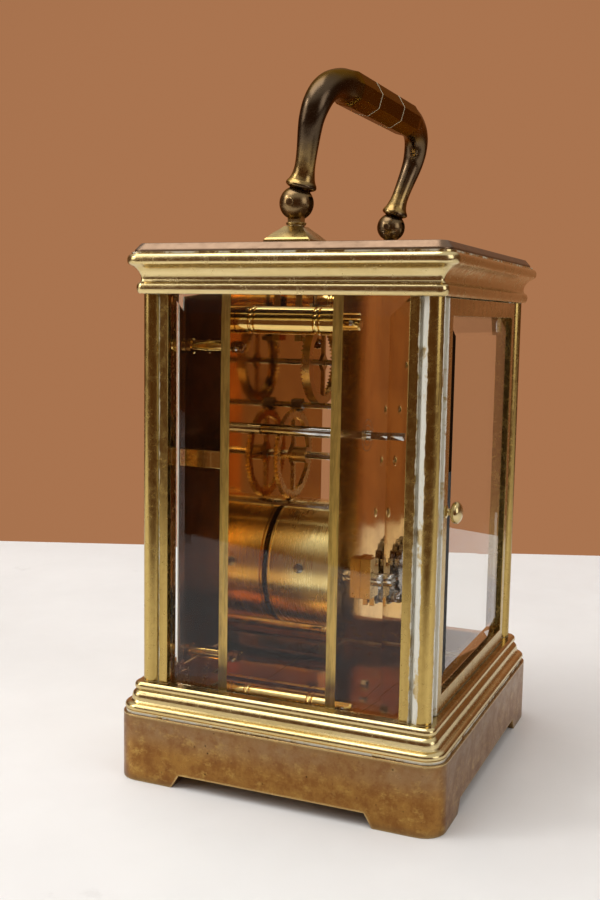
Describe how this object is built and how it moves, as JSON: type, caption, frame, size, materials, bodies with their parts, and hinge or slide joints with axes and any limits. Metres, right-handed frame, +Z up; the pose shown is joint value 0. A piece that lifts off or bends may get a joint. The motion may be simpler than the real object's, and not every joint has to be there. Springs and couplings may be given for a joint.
{
  "type": "carriage clock",
  "caption": "Brass carriage clock with bevelled glass panels, fold-down bail handle, opening rear door and a visible spring-driven movement.",
  "frame": {"origin": "centre of the object's bounding box in plan, at the level surface the feet stand on", "axes": "+Z up; the dial faces -Y and the rear door faces +Y, hinged on its -X stile; +X is the right-hand side glass seen from the dial's side"},
  "size_m": [0.0946, 0.0864, 0.1786],
  "materials": {
    "cast_brass": "aged, mottled patina",
    "case_brass": "polished, slightly tarnished",
    "bevelled_glass": "clear, polished bevels",
    "patinated_bronze": "dark brown patina, worn bright at the edges",
    "movement_brass": "polished",
    "wheel_brass": "polished",
    "polished_steel": "polished",
    "blued_steel": "heat-blued, polished",
    "balance_brass": "polished",
    "enamel": "glossy white enamel"
  },
  "bodies": {
    "case": {"plinth": "cast_brass", "base_moulding": "cast_brass", "cornice": "cast_brass", "base_plate": "cast_brass", "top_plate": "cast_brass", "post_front_left": "case_brass", "post_front_right": "case_brass", "post_rear_left": "case_brass", "post_rear_right": "case_brass", "handle_post_right": "case_brass", "handle_post_left": "case_brass", "glass_right": "bevelled_glass", "glass_left": "bevelled_glass", "glass_front": "bevelled_glass", "top_glass": "bevelled_glass", "front_plate": "movement_brass", "dial_bracket": "movement_brass", "back_plate": "movement_brass", "pillar_top_right": "movement_brass", "pillar_top_left": "movement_brass", "pillar_bottom_right": "movement_brass", "pillar_bottom_left": "movement_brass", "platform": "movement_brass", "balance_cock": "movement_brass", "click_spring": "wheel_brass", "minute_stud": "polished_steel", "click": "polished_steel", "hinge_pin_bottom": "polished_steel", "hinge_pin_top": "polished_steel", "handle_pin_right": "polished_steel", "handle_pin_left": "polished_steel", "dial": "enamel"},
    "door": {"door_frame": "case_brass", "door_glass": "bevelled_glass", "door_knob": "case_brass"},
    "bail": {"handle": "patinated_bronze"},
    "winding_arbor": {"barrel_arbor": "polished_steel", "ratchet_wheel": "polished_steel"},
    "barrel": {"barrel_drum": "movement_brass", "barrel_cover": "movement_brass", "mainspring": "blued_steel"},
    "intermediate": {"intermediate_arbor": "polished_steel", "intermediate_wheel": "wheel_brass"},
    "centre": {"centre_arbor": "polished_steel", "centre_wheel": "wheel_brass", "cannon_pinion": "polished_steel", "minute_hand": "blued_steel"},
    "third": {"third_arbor": "polished_steel", "third_wheel": "wheel_brass"},
    "contrate": {"contrate_arbor": "polished_steel", "contrate_wheel": "wheel_brass"},
    "escape": {"escape_arbor": "polished_steel", "escape_wheel": "polished_steel"},
    "lever": {"pallet_lever": "polished_steel"},
    "balance": {"balance_wheel": "balance_brass", "hairspring": "blued_steel"},
    "setting": {"setting_arbor": "polished_steel"},
    "minute": {"minute_wheel": "wheel_brass"},
    "hour": {"hour_wheel": "wheel_brass", "hour_hand": "blued_steel"}
  },
  "joints": [
    {"name": "door_hinge", "type": "hinge", "parent": "case", "child": "door", "pos_m": [-0.0335, 0.0364, 0.07435], "axis": [0, 0, 1], "range_deg": [0, 100]},
    {"name": "handle_fold", "type": "hinge", "parent": "case", "child": "bail", "pos_m": [0, 0, 0.14545], "axis": [1, 0, 0], "range_deg": [-80, 110]},
    {"name": "centre_spin", "type": "hinge", "parent": "case", "child": "centre", "pos_m": [0, 0, 0.0808], "axis": [0, 1, 0], "continuous": true},
    {"name": "intermediate_spin", "type": "hinge", "parent": "case", "child": "intermediate", "pos_m": [0.0038, 0, 0.0673], "axis": [0, 1, 0], "continuous": true},
    {"name": "barrel_spin", "type": "hinge", "parent": "case", "child": "barrel", "pos_m": [-0.0086, 0, 0.049], "axis": [0, 1, 0], "continuous": true},
    {"name": "third_spin", "type": "hinge", "parent": "case", "child": "third", "pos_m": [-0.0022, 0, 0.0944], "axis": [0, 1, 0], "continuous": true},
    {"name": "contrate_spin", "type": "hinge", "parent": "case", "child": "contrate", "pos_m": [-0.006, 0, 0.1062], "axis": [0, 1, 0], "continuous": true},
    {"name": "escape_spin", "type": "hinge", "parent": "case", "child": "escape", "pos_m": [-0.006, -0.01169, 0.12], "axis": [0, 0, 1], "continuous": true},
    {"name": "setting_spin", "type": "hinge", "parent": "case", "child": "setting", "pos_m": [0.0119, 0, 0.0886], "axis": [0, 1, 0], "continuous": true},
    {"name": "minute_wheel_spin", "type": "hinge", "parent": "case", "child": "minute", "pos_m": [0.0084, 0, 0.08096], "axis": [0, 1, 0], "continuous": true},
    {"name": "hour_spin", "type": "hinge", "parent": "case", "child": "hour", "pos_m": [0, 0, 0.0808], "axis": [0, 1, 0], "continuous": true},
    {"name": "winding_spin", "type": "hinge", "parent": "case", "child": "winding_arbor", "pos_m": [-0.0086, 0, 0.049], "axis": [0, 1, 0], "continuous": true},
    {"name": "lever_swing", "type": "hinge", "parent": "case", "child": "lever", "pos_m": [-0.0023, -0.0084, 0.1272], "axis": [0, 0, 1], "range_deg": [-5, 5]},
    {"name": "balance_swing", "type": "hinge", "parent": "case", "child": "balance", "pos_m": [0.0022, -0.0032, 0.1295], "axis": [0, 0, 1], "range_deg": [-135, 135], "stiffness_Nm_per_rad": 0.000001}
  ],
  "couplings": [
    {"joint": "intermediate_spin", "follows": "centre_spin", "ratio": -0.2},
    {"joint": "barrel_spin", "follows": "centre_spin", "ratio": 0.030769},
    {"joint": "third_spin", "follows": "centre_spin", "ratio": -8},
    {"joint": "contrate_spin", "follows": "centre_spin", "ratio": 60},
    {"joint": "escape_spin", "follows": "centre_spin", "ratio": -600},
    {"joint": "setting_spin", "follows": "centre_spin", "ratio": 1},
    {"joint": "minute_wheel_spin", "follows": "centre_spin", "ratio": -0.33333},
    {"joint": "hour_spin", "follows": "centre_spin", "ratio": 0.083333}
  ]
}
